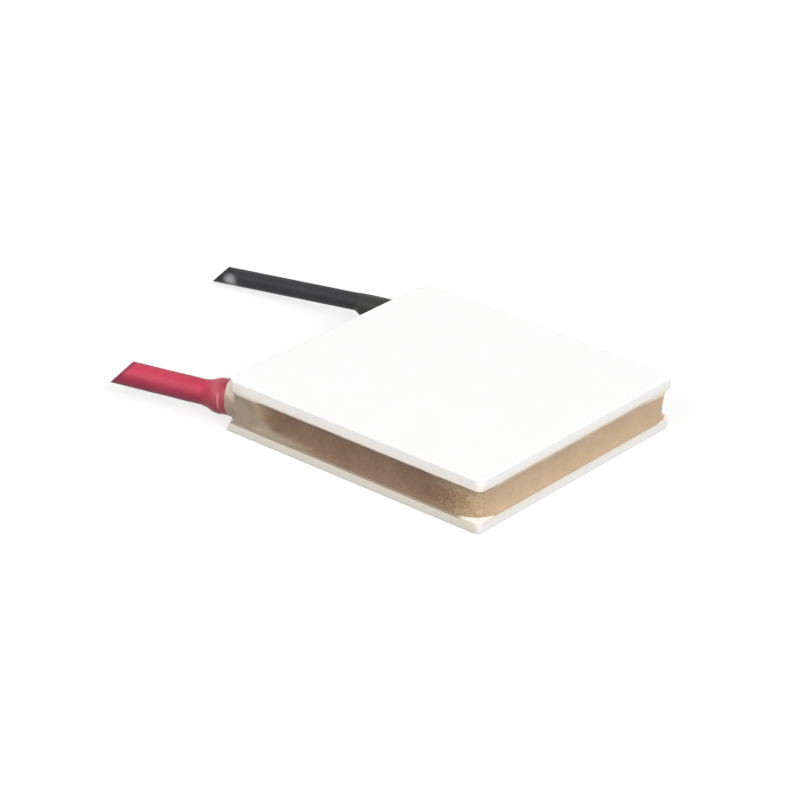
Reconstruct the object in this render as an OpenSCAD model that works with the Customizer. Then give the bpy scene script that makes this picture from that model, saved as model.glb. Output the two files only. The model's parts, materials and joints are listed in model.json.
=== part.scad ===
// Thermoelectric cooling module: 31 couples of bismuth telluride pellets in series
// between two alumina plates, sealed round the edge, with two soldered leads.
// Origin: centre of the hot face, which is the underside. +Z points to the cold face.
// X runs from the lead side (-X) to the plain side, Y from the red lead (-Y) to the black.

/* [Plates] */
// Length of the plates along X
module_w = 20; // [16:0.5:30]
// Length of the plates along Y
module_d = 20; // [16:0.5:30]
// Thickness of each ceramic plate
plate_t = 0.76; // [0.5:0.02:1.2]
// Radius of the plates' upright corners
plate_corner_r = 0.45; // [0.1:0.05:0.9]

/* [Pellets] */
// Pellet positions along X, an even number so that each row ends on a whole tab
columns = 8; // [4:2:8]
// Rows of pellets along Y, an even number so that both leads leave the same side
rows = 8; // [4:2:8]
// Side of each square pellet
pellet_w = 1.4; // [0.8:0.05:1.5]
// Height of each pellet
pellet_h = 1.48; // [1.3:0.02:3]

/* [Tabs and solder] */
// Thickness of the copper tabs
tab_t = 0.25; // [0.1:0.01:0.3]
// How far a tab reaches past the pellets that it joins
tab_lip = 0.1; // [0.05:0.01:0.15]
// Thickness of the solder between a tab and a pellet
solder_t = 0.05; // [0.02:0.01:0.1]
// How far the solder creeps out round a pellet's foot
solder_lip = 0.05; // [0:0.01:0.05]
// Distance from the plates' edge to the nearest tab
tab_margin = 0.95; // [0.9:0.05:1.3]

/* [Edge seal] */
// Thickness of the seal, from the plates' edge to its inner wall
seal_wall = 0.8; // [0.6:0.05:0.85]
// Depth of the hollow round the seal's outside
seal_hollow = 0.32; // [0.1:0.02:0.4]
// Radius of the seal's outer corners where it meets the plates
seal_corner_r = 1.4; // [0.9:0.1:1.8]
// Radius of the seal's inner corners
seal_inner_r = 0.4; // [0.2:0.05:0.5]
// Diameter of the full seal round each lead
boss_d = 2.05; // [1.9:0.05:2.05]
// How far the seal climbs out along each sleeve
collar_len = 0.8; // [0.4:0.1:1.2]
// Thickness of the seal's film on a sleeve
collar_t = 0.09; // [0.05:0.01:0.15]

/* [Conductors] */
// Diameter of one copper strand
strand_d = 0.19; // [0.1:0.01:0.22]
// Space between neighbouring strands
strand_gap = 0.01; // [0.005:0.005:0.02]
// How far the insulation reaches in past the seal
insulation_reach = 0.1; // [0.05:0.05:0.3]
// Length of stripped conductor inside the seal
strip_len = 1.5; // [1.2:0.1:2]
// Radius of the solder post that holds a conductor on its tab
joint_r = 0.72; // [0.5:0.02:0.75]
// Clearance of the solder posts below the cold plate
joint_clear = 0.2; // [0.1:0.02:0.4]
// Slope of the snipped end, from square across the lead
snip_angle = 34; // [0:1:45]

/* [Sleeves] */
// Length of a sleeve's rounded mouth
mouth_len = 0.5; // [0.2:0.05:0.8]
// Thickness of a sleeve at its mouth
mouth_t = 0.05; // [0.03:0.01:0.06]
// Clearance of the leads in the seal and in their sleeves
fit_gap = 0.01; // [0.005:0.005:0.03]

/* [Red lead] */
// Outer diameter of the red insulation
red_d = 1.65; // [1.1:0.05:1.7]
// Length of the red lead outside the plates, along its middle
red_len = 8.4; // [6:0.1:15]
// Distance of the red exit outwards from the middle of its pellet row
red_offset = 0.45; // [0:0.05:0.5]
// Swing of the red lead's straight end, towards -Y
red_swing = 14.8; // [0:0.2:16]
// Radius of the red lead's curve, which brings it level from its exit
red_curve_r = 16; // [14:1:60]
// Length of the red lead from the plates' edge to the end of its curve
red_curve_len = 2.5; // [1:0.1:2.5]
// Outer diameter of the red sleeve, which is drawn over the soldered end
red_sleeve_d = 2.2; // [1.9:0.05:2.3]
// Length of the red sleeve outside the plates
red_sleeve_len = 3; // [3:0.1:4.5]

/* [Black lead] */
// Outer diameter of the black insulation
black_d = 1.2; // [0.9:0.05:1.6]
// Length of the black lead outside the plates, along its middle
black_len = 14.8; // [6:0.1:15]
// Distance of the black exit outwards from the middle of its pellet row
black_offset = 0.15; // [0:0.05:0.5]
// Swing of the black lead's straight end, towards -Y
black_swing = 9.2; // [0:0.2:12]
// Fall of the black lead's straight end
black_fall = 4.4; // [0:0.2:5]
// Radius of the black lead's curve
black_curve_r = 30; // [20:1:60]
// Length of the black lead from the plates' edge to the end of its curve
black_curve_len = 3.5; // [1:0.1:3.5]
// Turn of the black curve's plane, from upright
black_curve_turn = 116; // [90:1:180]
// Outer diameter of the black sleeve, which is drawn over the insulation only
black_sleeve_d = 1.4; // [1.35:0.05:2.05]
// Length of the black sleeve outside the plates
black_sleeve_len = 4; // [4:0.1:5]

/* [Hidden] */
$fn = 64;
// heights, from the hot face up
hot_tab_z = plate_t;
hot_solder_z = hot_tab_z + tab_t;
pellet_z = hot_solder_z + solder_t;
cold_solder_z = pellet_z + pellet_h;
cold_tab_z = cold_solder_z + solder_t;
cold_plate_z = cold_tab_z + tab_t;
gap_h = cold_plate_z - plate_t;
exit_z = plate_t + gap_h / 2;

// pellet field: centre of the first position and the steps between positions
first_x = -module_w / 2 + tab_margin + tab_lip + pellet_w / 2;
first_y = -module_d / 2 + tab_margin + tab_lip + pellet_w / 2;
pitch_x = -2 * first_x / (columns - 1);
pitch_y = -2 * first_y / (rows - 1);
tab_w = pellet_w + 2 * tab_lip;
solder_w = pellet_w + 2 * solder_lip;

// bore for the seven strands, and how deep the leads reach in past the plates' edge
bundle_d = 3 * strand_d + 2 * strand_gap;
bore_d = bundle_d + 2 * fit_gap;
insulation_in = seal_wall + insulation_reach;
conductor_in = insulation_in + strip_len;

// a circular arc of this radius, set this far out, gives the seal its hollow side
hollow_r = (pow(gap_h / 2, 2) + pow(seal_hollow, 2)) / (2 * seal_hollow);
hollow_out = hollow_r - seal_hollow;

// a lead: [side, offset, swing, fall, turn of the curve's plane, curve radius, curve length,
//          length, insulation diameter, sleeve diameter, sleeve length]
red = [-1, red_offset, red_swing, 0, 0, red_curve_r, red_curve_len, red_len, red_d,
       red_sleeve_d, red_sleeve_len];
black = [1, black_offset, black_swing, black_fall, -black_curve_turn, black_curve_r,
         black_curve_len, black_len, black_d, black_sleeve_d, black_sleeve_len];
function lead_y(lead) = lead[0] * (lead[1] - first_y);
function lead_swing(lead) = lead[2];
function lead_fall(lead) = lead[3];
function lead_turn(lead) = lead[4];
function curve_r(lead) = lead[5];
function curve_len(lead) = lead[6];
function lead_len(lead) = lead[7];
function lead_d(lead) = lead[8];
function sleeve_d(lead) = lead[9];
function sleeve_len(lead) = lead[10];
// angle of the curve between its end and a place this far along the lead
function curve_angle(lead, s) = (curve_len(lead) - s) / curve_r(lead) * 180 / PI;

// ---- places in the pellet field ----

// The current runs to and fro, row by row, so odd steps of the chain run back.
// Position p of a row, 0 to columns - 1, counted in the direction of the current.
function current_column(row, p) = row % 2 == 1 ? p : columns - 1 - p;

module at_position(row, p) {
    translate([first_x + current_column(row, p) * pitch_x, first_y + (row - 1) * pitch_y, 0])
        children();
}

// The first position of the first row and the last of the last row carry a lead instead.
function holds_lead(row, p) = (row == 1 && p == 0) || (row == rows && p == columns - 1);

module pellet_block(width, height) {
    translate([-width / 2, -width / 2, 0]) cube([width, width, height]);
}

// ---- plates and seal ----

module rounded_rectangle(width, depth, radius) {
    square([width - 2 * radius, depth], center = true);
    square([width, depth - 2 * radius], center = true);
    for (x = [-1, 1], y = [-1, 1])
        translate([x * (width / 2 - radius), y * (depth / 2 - radius)]) circle(r = radius);
}

module ceramic_plate() {
    linear_extrude(plate_t) rounded_rectangle(module_w, module_d, plate_corner_r);
}

module hot_plate() {
    color("white") ceramic_plate();
}

module cold_plate() {
    color("white") translate([0, 0, cold_plate_z]) ceramic_plate();
}

// The round-bottomed channel that hollows the seal's four sides and its corners
module seal_channel() {
    half_w = module_w / 2 - seal_corner_r;
    half_d = module_d / 2 - seal_corner_r;
    translate([0, 0, exit_z]) {
        for (y = [-1, 1])
            translate([-half_w, y * (module_d / 2 + hollow_out), 0])
                rotate([0, 90, 0]) cylinder(r = hollow_r, h = 2 * half_w);
        for (x = [-1, 1])
            translate([x * (module_w / 2 + hollow_out), -half_d, 0])
                rotate([-90, 0, 0]) cylinder(r = hollow_r, h = 2 * half_d);
        for (quarter = [0:3])
            translate([(quarter == 0 || quarter == 3 ? 1 : -1) * half_w,
                       (quarter < 2 ? 1 : -1) * half_d, 0])
                rotate([0, 0, 90 * quarter])
                    rotate_extrude(angle = 90)
                        translate([seal_corner_r + hollow_out, 0]) circle(r = hollow_r);
    }
}

module seal_ring() {
    difference() {
        translate([0, 0, plate_t]) linear_extrude(gap_h)
            rounded_rectangle(module_w, module_d, seal_corner_r);
        seal_channel();
    }
}

// Round each lead the seal stands full to the plates' edge, where it backs the sleeve
module seal_boss(lead) {
    on_lead(lead) lead_sweep(lead, -conductor_in, 1) circle(d = boss_d);
}

// Everything beyond the side of the plates that the leads leave
module lead_side() {
    reach = red_len + black_len;
    translate([-module_w / 2 - reach, -module_d, 0]) cube([reach, 2 * module_d, 2 * cold_plate_z]);
}

// The film that climbs out along a sleeve
module seal_collar(lead) {
    intersection() {
        on_lead(lead) lead_sweep(lead, -seal_wall / 2, collar_len) difference() {
            circle(d = sleeve_d(lead) + 2 * (fit_gap + collar_t));
            circle(d = sleeve_d(lead) + 2 * fit_gap);
        }
        union() {
            lead_side();
            translate([-module_w / 2 - collar_len, -module_d, plate_t])
                cube([module_w, 2 * module_d, gap_h]);
        }
    }
}

module seal_band() {
    intersection() {
        union() {
            seal_ring();
            seal_boss(red);
            seal_boss(black);
        }
        translate([0, 0, plate_t]) linear_extrude(gap_h) difference() {
            rounded_rectangle(module_w, module_d, plate_corner_r);
            rounded_rectangle(module_w - 2 * seal_wall, module_d - 2 * seal_wall, seal_inner_r);
        }
    }
}

module edge_seal() {
    color("tan") difference() {
        union() {
            seal_band();
            seal_collar(red);
            seal_collar(black);
        }
        for (lead = [red, black])
            on_lead(lead)
                lead_sweep(lead, -conductor_in, 1) circle(d = lead_d(lead) + 2 * fit_gap);
    }
}

// ---- couples: tabs, solder and pellets ----

// A tab over two neighbouring positions of the chain
module tab(row_a, p_a, row_b, p_b) {
    steps_x = current_column(row_b, p_b) - current_column(row_a, p_a);
    at_position(row_a, p_a)
        translate([min(0, steps_x) * pitch_x - tab_w / 2, -tab_w / 2, 0])
            cube([abs(steps_x) * pitch_x + tab_w, (row_b - row_a) * pitch_y + tab_w, tab_t]);
}

module hot_tabs_row(row) {
    color("peru") translate([0, 0, hot_tab_z])
        for (p = [0:2:columns - 2]) tab(row, p, row, p + 1);
}

// The cold tabs lie between the hot ones in the chain, and the last turns into the next row
module cold_tabs_row(row) {
    color("peru") translate([0, 0, cold_tab_z]) {
        if (columns > 2) for (p = [1:2:columns - 3]) tab(row, p, row, p + 1);
        if (row < rows) tab(row, columns - 1, row + 1, 0);
    }
}

module pellets_row(row, first) {
    translate([0, 0, pellet_z])
        for (p = [first:2:columns - 1])
            if (!holds_lead(row, p)) at_position(row, p) pellet_block(pellet_w, pellet_h);
}

module n_pellets_row(row) {
    color("dimgray") pellets_row(row, 1);
}

module p_pellets_row(row) {
    color("slategray") pellets_row(row, 0);
}

module solder_layer() {
    for (row = [1:rows], p = [0:columns - 1])
        if (!holds_lead(row, p)) at_position(row, p) pellet_block(solder_w, solder_t);
}

module hot_solder() {
    color("silver") translate([0, 0, hot_solder_z]) solder_layer();
}

module cold_solder() {
    color("silver") translate([0, 0, cold_solder_z]) solder_layer();
}

// ---- leads ----

// A lead runs out of the module on a wide curve and then straight. Its own frame sits
// where the curve ends: +Z runs out along the straight and the curve's middle lies at +X.
module on_lead(lead) {
    angle = curve_angle(lead, 0);
    translate([-module_w / 2, lead_y(lead), exit_z])
        rotate([0, -90 - lead_fall(lead), lead_swing(lead)])
            rotate([0, 0, lead_turn(lead)])
                translate([curve_r(lead) * (cos(angle) - 1), 0, curve_r(lead) * sin(angle)])
                    children();
}

// Sweeps a section along the lead, between two distances from the plates' edge
module lead_sweep(lead, from, to) {
    if (from < curve_len(lead)) {
        start = max(0, curve_angle(lead, to));
        translate([curve_r(lead), 0, 0]) rotate([-90, 0, 180]) rotate([0, 0, start])
            rotate_extrude(angle = curve_angle(lead, from) - start)
                translate([curve_r(lead), 0]) rotate(180) children();
    }
    if (to > curve_len(lead)) {
        start = max(from - curve_len(lead), 0);
        translate([0, 0, start]) linear_extrude(to - curve_len(lead) - start) children();
    }
}

// Sweeps a section from inside the module to the lead's sloping snipped end
module snipped_sweep(lead, from) {
    beyond = lead_d(lead);
    on_lead(lead) difference() {
        lead_sweep(lead, from, lead_len(lead) + beyond) children();
        translate([0, 0, lead_len(lead) - curve_len(lead)])
            rotate([0, 0, -lead_turn(lead)]) rotate([0, snip_angle, 0])
                translate([-2 * beyond, -2 * beyond, 0])
                    cube([4 * beyond, 4 * beyond, 3 * beyond]);
    }
}

// Seven strands: one in the middle and six round it
module conductor(lead) {
    snipped_sweep(lead, -conductor_in) {
        circle(d = strand_d);
        for (turn = [0:60:300])
            rotate(turn) translate([strand_d + strand_gap, 0]) circle(d = strand_d);
    }
}

module insulation(lead) {
    snipped_sweep(lead, -insulation_in) difference() {
        circle(d = lead_d(lead));
        circle(d = bore_d);
    }
}

// A shrunk sleeve with its inner end flush on the plates' edge and a rounded mouth
module sleeve(lead) {
    inner_r = lead_d(lead) / 2 + fit_gap;
    mouth_start = sleeve_len(lead) - mouth_len;
    step = sleeve_d(lead) / 2 - inner_r - mouth_t;
    round_r = (pow(step, 2) + pow(mouth_len, 2)) / (2 * step);
    intersection() {
        on_lead(lead) {
            lead_sweep(lead, -sleeve_d(lead), mouth_start) difference() {
                circle(d = sleeve_d(lead));
                circle(r = inner_r);
            }
            translate([0, 0, mouth_start - curve_len(lead)]) rotate_extrude() intersection() {
                translate([sleeve_d(lead) / 2 - round_r, 0]) circle(r = round_r);
                translate([inner_r, 0]) square([sleeve_d(lead) / 2 - inner_r, mouth_len]);
            }
        }
        lead_side();
    }
}

// A domed post of solder on the lead's tab, bored where the conductor runs through it
module solder_joint(lead) {
    dome_z = cold_plate_z - joint_clear - joint_r - hot_solder_z;
    difference() {
        translate([first_x, lead[0] * -first_y, hot_solder_z]) rotate_extrude() intersection() {
            union() {
                square([joint_r, dome_z]);
                translate([0, dome_z]) circle(r = joint_r);
            }
            square([joint_r, dome_z + joint_r]);
        }
        on_lead(lead) lead_sweep(lead, -conductor_in - joint_r, 0) circle(d = bore_d);
    }
}

module red_joint() {
    color("silver") solder_joint(red);
}

module red_conductor() {
    color("peru") conductor(red);
}

module red_insulation() {
    color("crimson") insulation(red);
}

module red_sleeve() {
    color("indianred") sleeve(red);
}

module black_joint() {
    color("silver") solder_joint(black);
}

module black_conductor() {
    color("peru") conductor(black);
}

module black_insulation() {
    color("dimgray") insulation(black);
}

module black_sleeve() {
    color("darkslategray") sleeve(black);
}

// ---- the part ----

hot_plate();
cold_plate();
edge_seal();
hot_solder();
cold_solder();
for (row = [1:rows]) {
    hot_tabs_row(row);
    cold_tabs_row(row);
    n_pellets_row(row);
    p_pellets_row(row);
}
red_joint();
red_conductor();
red_insulation();
red_sleeve();
black_joint();
black_conductor();
black_insulation();
black_sleeve();
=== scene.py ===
"""Thermoelectric cooling module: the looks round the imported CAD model.

The ceramic plates, the hand-laid edge seal and the two leads are modelled here again with
their soft edges and uneven forms. The couples inside keep their CAD solids.
"""
import json
import math
import bpy
from mathutils import Matrix, Vector


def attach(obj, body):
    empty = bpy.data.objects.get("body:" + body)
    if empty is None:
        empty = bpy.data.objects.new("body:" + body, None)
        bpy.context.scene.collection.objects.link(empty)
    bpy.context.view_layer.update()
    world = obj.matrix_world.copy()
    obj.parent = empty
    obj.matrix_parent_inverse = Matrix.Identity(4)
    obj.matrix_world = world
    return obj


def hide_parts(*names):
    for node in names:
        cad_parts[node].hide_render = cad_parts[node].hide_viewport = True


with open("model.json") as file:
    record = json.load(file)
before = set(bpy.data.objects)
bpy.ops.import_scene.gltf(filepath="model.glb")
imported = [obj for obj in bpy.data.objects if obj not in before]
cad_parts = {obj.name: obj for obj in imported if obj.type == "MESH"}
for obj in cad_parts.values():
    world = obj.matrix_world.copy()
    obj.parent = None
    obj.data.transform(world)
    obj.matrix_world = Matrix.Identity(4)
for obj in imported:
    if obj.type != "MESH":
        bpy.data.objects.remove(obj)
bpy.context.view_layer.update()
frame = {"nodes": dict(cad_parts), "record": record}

MM = 0.001

# ---- sizes of the module, as the part's source has them, in millimetres ----

PLATE_SIDE = 20.0
PLATE_T = 0.76
GAP_H = 2.08
COLD_PLATE_Z = PLATE_T + GAP_H
EXIT_Z = PLATE_T + GAP_H / 2
SEAL_HOLLOW = 0.32
STRAND_D = 0.19
STRAND_GAP = 0.01
BORE_R = 0.305
CONDUCTOR_IN = 2.4
INSULATION_IN = 0.9

# "snip" is the outward direction of the slanting cut that each lead ends in
LEADS = {
    "red": dict(y=-8.7, swing=14.8, fall=0.0, turn=0.0, bend_r=16.0, bend_len=2.5,
                length=8.4, radius=0.825, snip=(-0.724, -0.218, 0.655)),
    "black": dict(y=8.4, swing=9.2, fall=4.4, turn=-116.0, bend_r=30.0, bend_len=3.5,
                  length=14.8, radius=0.6, snip=(-0.716, -0.205, 0.668)),
}


# ---- small helpers for working as by hand ----

def deselect_all():
    if bpy.context.mode != "OBJECT":
        bpy.ops.object.mode_set(mode="OBJECT")
    for piece in bpy.context.selected_objects:
        piece.select_set(False)
    bpy.context.view_layer.objects.active = None


def make_active(piece):
    deselect_all()
    piece.select_set(True)
    bpy.context.view_layer.objects.active = piece


def name_active(name):
    """Gives the new primitive its name and puts its place in its mesh."""
    piece = bpy.context.object
    piece.name = name
    piece.data.name = name
    bpy.ops.object.transform_apply(location=True, rotation=True, scale=True)
    return piece


def select_in_edit(piece, kind, chosen):
    """Enters edit mode with only those vertices, edges or faces selected that chosen() picks."""
    if bpy.context.mode != "OBJECT":
        bpy.ops.object.mode_set(mode="OBJECT")
    mesh = piece.data
    for parts in (mesh.vertices, mesh.edges, mesh.polygons):
        parts.foreach_set("select", [False] * len(parts))
    bpy.ops.object.mode_set(mode="EDIT")
    bpy.ops.mesh.select_mode(type=kind)
    bpy.ops.object.mode_set(mode="OBJECT")
    parts = {"VERT": mesh.vertices, "EDGE": mesh.edges, "FACE": mesh.polygons}[kind]
    for part in parts:
        part.select = bool(chosen(part))
    bpy.ops.object.mode_set(mode="EDIT")


def edge_ends(piece, edge):
    return [piece.data.vertices[i].co / MM for i in edge.vertices]


def leave_edit():
    bpy.ops.object.mode_set(mode="OBJECT")


def apply_modifier(piece, name):
    make_active(piece)
    bpy.ops.object.modifier_apply(modifier=name)


def tidy_surface(piece, angle=30):
    """Merges doubles, turns the faces outwards and smooths all but the sharp edges."""
    make_active(piece)
    bpy.ops.object.mode_set(mode="EDIT")
    bpy.ops.mesh.select_all(action="SELECT")
    bpy.ops.mesh.remove_doubles(threshold=0.0005 * MM)
    bpy.ops.mesh.normals_make_consistent(inside=False)
    leave_edit()
    bpy.ops.object.shade_smooth_by_angle(angle=math.radians(angle))


def cut_off(piece, point, out, fill=False):
    """Cuts off what lies outside a plane, and stays in edit mode."""
    select_in_edit(piece, "FACE", lambda face: True)
    bpy.ops.mesh.bisect(plane_co=point, plane_no=out, clear_outer=True, use_fill=fill,
                        threshold=0.0002 * MM)


def finish_piece(piece, material, slot, *nodes):
    piece.data.materials.clear()
    piece.data.materials.append(material)
    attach(piece, "root")
    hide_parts(*nodes)


# ---- camera ----

# Azimuth, elevation and roll in degrees, and the rest in millimetres
CAMERA_TURN = (37.309, 26.474, 3.077)
CAMERA_TARGET = (-4.783, 0.985, 0.0)
CAMERA_DISTANCE = 246.12
CAMERA_LENS = 172.73
CAMERA_SENSOR = 36.0


def direction_from(azimuth, elevation):
    """Unit direction away from the module, from angles in radians."""
    return Vector((math.sin(azimuth) * math.cos(elevation),
                   -math.cos(azimuth) * math.cos(elevation),
                   math.sin(elevation)))


def add_camera():
    azimuth, elevation, roll = (math.radians(angle) for angle in CAMERA_TURN)
    away = direction_from(azimuth, elevation)
    right = Vector((math.cos(azimuth), math.sin(azimuth), 0.0))
    up = away.cross(right)
    tilted_right = right * math.cos(roll) + up * math.sin(roll)
    tilted_up = up * math.cos(roll) - right * math.sin(roll)
    camera = bpy.data.objects.new("camera", bpy.data.cameras.new("camera"))
    bpy.context.scene.collection.objects.link(camera)
    turn = Matrix((tilted_right, tilted_up, away)).transposed().to_4x4()
    place = (Vector(CAMERA_TARGET) + away * CAMERA_DISTANCE) * MM
    camera.matrix_world = Matrix.Translation(place) @ turn
    camera.data.lens = CAMERA_LENS
    camera.data.sensor_width = CAMERA_SENSOR
    camera.data.clip_start = 0.01
    camera.data.clip_end = 20.0
    bpy.context.scene.camera = camera


# ---- node helpers and shared effects ----

def link(tree, source, target):
    tree.links.new(source, target)


def add_node(tree, kind, values=None, **settings):
    """A node with its settings, and its input sockets filled or linked from values."""
    node = tree.nodes.new(kind)
    for key, value in settings.items():
        setattr(node, key, value)
    for key, value in (values or {}).items():
        if isinstance(value, bpy.types.NodeSocket):
            link(tree, value, node.inputs[key])
        else:
            node.inputs[key].default_value = value
    return node


def math_node(tree, operation, first, second=0.0, third=0.0, clamp=False):
    node = add_node(tree, "ShaderNodeMath", {0: first, 1: second, 2: third}, operation=operation)
    node.use_clamp = clamp
    return node.outputs[0]


def times(tree, *factors):
    """The product of masks and plain numbers."""
    result = factors[0]
    for factor in factors[1:]:
        result = math_node(tree, "MULTIPLY", result, factor)
    return result


def split_axes(tree, vector):
    return add_node(tree, "ShaderNodeSeparateXYZ", {0: vector}).outputs


def distance_from(tree, place, point):
    return add_node(tree, "ShaderNodeVectorMath", {0: place, 1: point},
                    operation="DISTANCE").outputs["Value"]


def ramp_between(tree, value, low, high):
    """0 at low, 1 at high and smooth in between."""
    node = add_node(tree, "ShaderNodeMapRange",
                    {"Value": value, "From Min": low, "From Max": high},
                    interpolation_type="SMOOTHSTEP")
    return node.outputs[0]


def mix_colours(tree, factor, first, second, blend="MIX"):
    node = tree.nodes.new("ShaderNodeMix")
    node.data_type = "RGBA"
    node.blend_type = blend
    for key, value in (("Factor", factor), ("A", first), ("B", second)):
        socket = next(s for s in node.inputs if s.name == key and s.enabled)
        if isinstance(value, bpy.types.NodeSocket):
            link(tree, value, socket)
        else:
            socket.default_value = value
    return next(s for s in node.outputs if s.enabled)


def lay_over(tree, colour, shade, *masks):
    """Lays a shade over a colour as far as the product of the masks says."""
    return mix_colours(tree, times(tree, *masks), colour, shade)


def new_group(name, inputs, outputs):
    """An empty node group with named inputs {name: (kind, default)} and outputs {name: kind}."""
    tree = bpy.data.node_groups.new(name, "ShaderNodeTree")
    for label, (kind, default) in inputs.items():
        socket = tree.interface.new_socket(label, in_out="INPUT", socket_type=kind)
        if default is not None:
            socket.default_value = default
    for label, kind in outputs.items():
        tree.interface.new_socket(label, in_out="OUTPUT", socket_type=kind)
    return tree, tree.nodes.new("NodeGroupInput"), tree.nodes.new("NodeGroupOutput")


def make_tone_group():
    """Soft blotches and a finer grain, mixed between a dark and a light colour."""
    tree, given, result = new_group(
        "uneven_tone",
        {"Vector": ("NodeSocketVector", None), "Scale": ("NodeSocketFloat", 1.0),
         "Spread": ("NodeSocketFloat", 0.5), "Dark": ("NodeSocketColor", (0, 0, 0, 1)),
         "Light": ("NodeSocketColor", (1, 1, 1, 1))},
        {"Colour": "NodeSocketColor", "Fac": "NodeSocketFloat"})
    broad = add_node(tree, "ShaderNodeTexNoise",
                     {"Vector": given.outputs["Vector"], "Scale": given.outputs["Scale"],
                      "Detail": 3.0, "Roughness": 0.55})
    finer_scale = math_node(tree, "MULTIPLY", given.outputs["Scale"], 6.0)
    fine = add_node(tree, "ShaderNodeTexNoise",
                    {"Vector": given.outputs["Vector"], "Scale": finer_scale, "Detail": 2.0})
    both = math_node(tree, "MULTIPLY_ADD", broad.outputs["Fac"], 0.7,
                     times(tree, fine.outputs["Fac"], 0.3))
    centred = math_node(tree, "SUBTRACT", both, 0.5)
    spread = times(tree, centred, given.outputs["Spread"], 5.0)
    factor = math_node(tree, "ADD", spread, 0.5, clamp=True)
    colour = mix_colours(tree, factor, given.outputs["Dark"], given.outputs["Light"])
    link(tree, colour, result.inputs["Colour"])
    link(tree, factor, result.inputs["Fac"])
    return tree


def make_specks_group():
    """Scattered round specks, each a little different in size."""
    tree, given, result = new_group(
        "specks",
        {"Vector": ("NodeSocketVector", None), "Scale": ("NodeSocketFloat", 3.0),
         "Size": ("NodeSocketFloat", 0.2)},
        {"Mask": "NodeSocketFloat"})
    cells = add_node(tree, "ShaderNodeTexVoronoi",
                     {"Vector": given.outputs["Vector"], "Scale": given.outputs["Scale"]})
    shade = add_node(tree, "ShaderNodeSeparateColor", {0: cells.outputs["Color"]})
    reach = math_node(tree, "MULTIPLY", given.outputs["Size"], shade.outputs[0])
    inside = math_node(tree, "SUBTRACT", reach, cells.outputs["Distance"])
    soft = math_node(tree, "MULTIPLY", inside, 14.0, clamp=True)
    link(tree, soft, result.inputs["Mask"])
    return tree


def make_relief_group():
    """Height of a slightly wavy surface with a finer skin on it."""
    tree, given, result = new_group(
        "skin_relief",
        {"Vector": ("NodeSocketVector", None), "Scale": ("NodeSocketFloat", 1.0),
         "Fine": ("NodeSocketFloat", 0.3)},
        {"Height": "NodeSocketFloat"})
    wave = add_node(tree, "ShaderNodeTexNoise",
                    {"Vector": given.outputs["Vector"], "Scale": given.outputs["Scale"],
                     "Detail": 2.0})
    fine_scale = math_node(tree, "MULTIPLY", given.outputs["Scale"], 9.0)
    skin = add_node(tree, "ShaderNodeTexNoise",
                    {"Vector": given.outputs["Vector"], "Scale": fine_scale, "Detail": 3.0})
    fine = math_node(tree, "MULTIPLY", skin.outputs["Fac"], given.outputs["Fine"])
    link(tree, math_node(tree, "ADD", wave.outputs["Fac"], fine), result.inputs["Height"])
    return tree


TONE = make_tone_group()
SPECKS = make_specks_group()
RELIEF = make_relief_group()


def use_group(tree, group, values):
    node = tree.nodes.new("ShaderNodeGroup")
    node.node_tree = group
    for key, value in values.items():
        if isinstance(value, bpy.types.NodeSocket):
            link(tree, value, node.inputs[key])
        else:
            node.inputs[key].default_value = value
    return node.outputs


def wandering_tone(tree, place, scale, spread, tones):
    """A colour that wanders between a dark and a light tone."""
    dark, light = tones
    return use_group(tree, TONE, {"Vector": place, "Scale": scale, "Spread": spread,
                                  "Dark": dark, "Light": light})["Colour"]


def relief_height(tree, place, scale, fine):
    return use_group(tree, RELIEF, {"Vector": place, "Scale": scale, "Fine": fine})["Height"]


def millimetres(tree, stretch=(1.0, 1.0, 1.0)):
    """Object coordinates in millimetres, stretched where a pattern runs one way."""
    place = tree.nodes.new("ShaderNodeTexCoord").outputs["Object"]
    scale = tuple(s / MM for s in stretch)
    return add_node(tree, "ShaderNodeMapping", {"Vector": place, "Scale": scale}).outputs[0]


def new_material(name, roughness, metallic=0.0, **sockets):
    material = bpy.data.materials.new(name)
    material.use_nodes = True
    tree = material.node_tree
    shader = tree.nodes["Principled BSDF"]
    shader.inputs["Roughness"].default_value = roughness
    shader.inputs["Metallic"].default_value = metallic
    for key, value in sockets.items():
        shader.inputs[key.replace("_", " ")].default_value = value
    return material, tree, shader


def add_bump(tree, shader, height, strength, depth):
    bump = add_node(tree, "ShaderNodeBump",
                    {"Height": height, "Strength": strength, "Distance": depth * MM})
    link(tree, bump.outputs["Normal"], shader.inputs["Normal"])


def rgb(red, green, blue):
    """A colour written as on a display, 0 to 255, as the shader wants it."""
    linear = []
    for part in (red, green, blue):
        part /= 255.0
        linear.append(part / 12.92 if part <= 0.04045 else ((part + 0.055) / 1.055) ** 2.4)
    return (*linear, 1.0)


# ---- finishes ----

# Tones that wander between a dark and a light
ALUMINA_TONES = rgb(250, 250, 249), rgb(252, 252, 252)
SEAL_TAN = rgb(188, 160, 126), rgb(210, 182, 154)
SEAL_BROWN = rgb(116, 89, 68), rgb(138, 110, 89)

# What lies on the ceramic near the sealant, a darker tone on the sides, and the painted shade on
# the rim
SIDE_DARK_TONE = rgb(220, 211, 197)
SEAL_HAZE = rgb(244, 230, 204)
EXIT_SMEAR = rgb(226, 213, 194)
LAP_TAN = rgb(206, 180, 151)
LAP_BROWN = rgb(146, 126, 107)
RIM_SHADE = rgb(200, 200, 200)

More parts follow.
